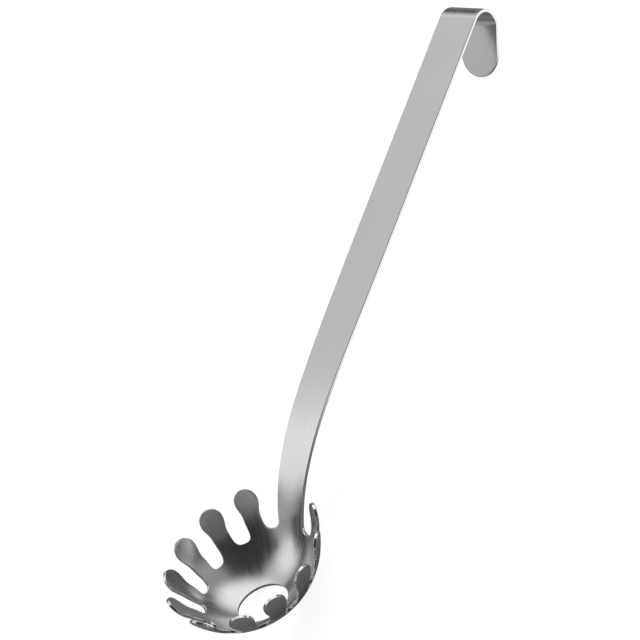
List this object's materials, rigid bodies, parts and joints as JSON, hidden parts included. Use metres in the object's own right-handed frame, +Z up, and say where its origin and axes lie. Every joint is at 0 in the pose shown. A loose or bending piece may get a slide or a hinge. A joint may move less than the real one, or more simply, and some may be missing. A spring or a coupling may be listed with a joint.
{
  "type": "spaghetti server",
  "caption": "Spaghetti server bent from one sheet of steel: round bowl with a ring of round-tipped fingers and a drain hole, long flat handle, hook at its end.",
  "frame": {"origin": "middle of the footprint, on the table that the server lies on", "axes": "+Z up, away from the table; +Y along the handle from the bowl to the hook; +X to the right seen from the bowl towards the hook; x = 0 is the plane of symmetry"},
  "size_m": [0.0796, 0.3191, 0.0454],
  "materials": {
    "steel": "satin brushed"
  },
  "bodies": {
    "root": {"spaghetti_server": "steel"}
  },
  "joints": []
}
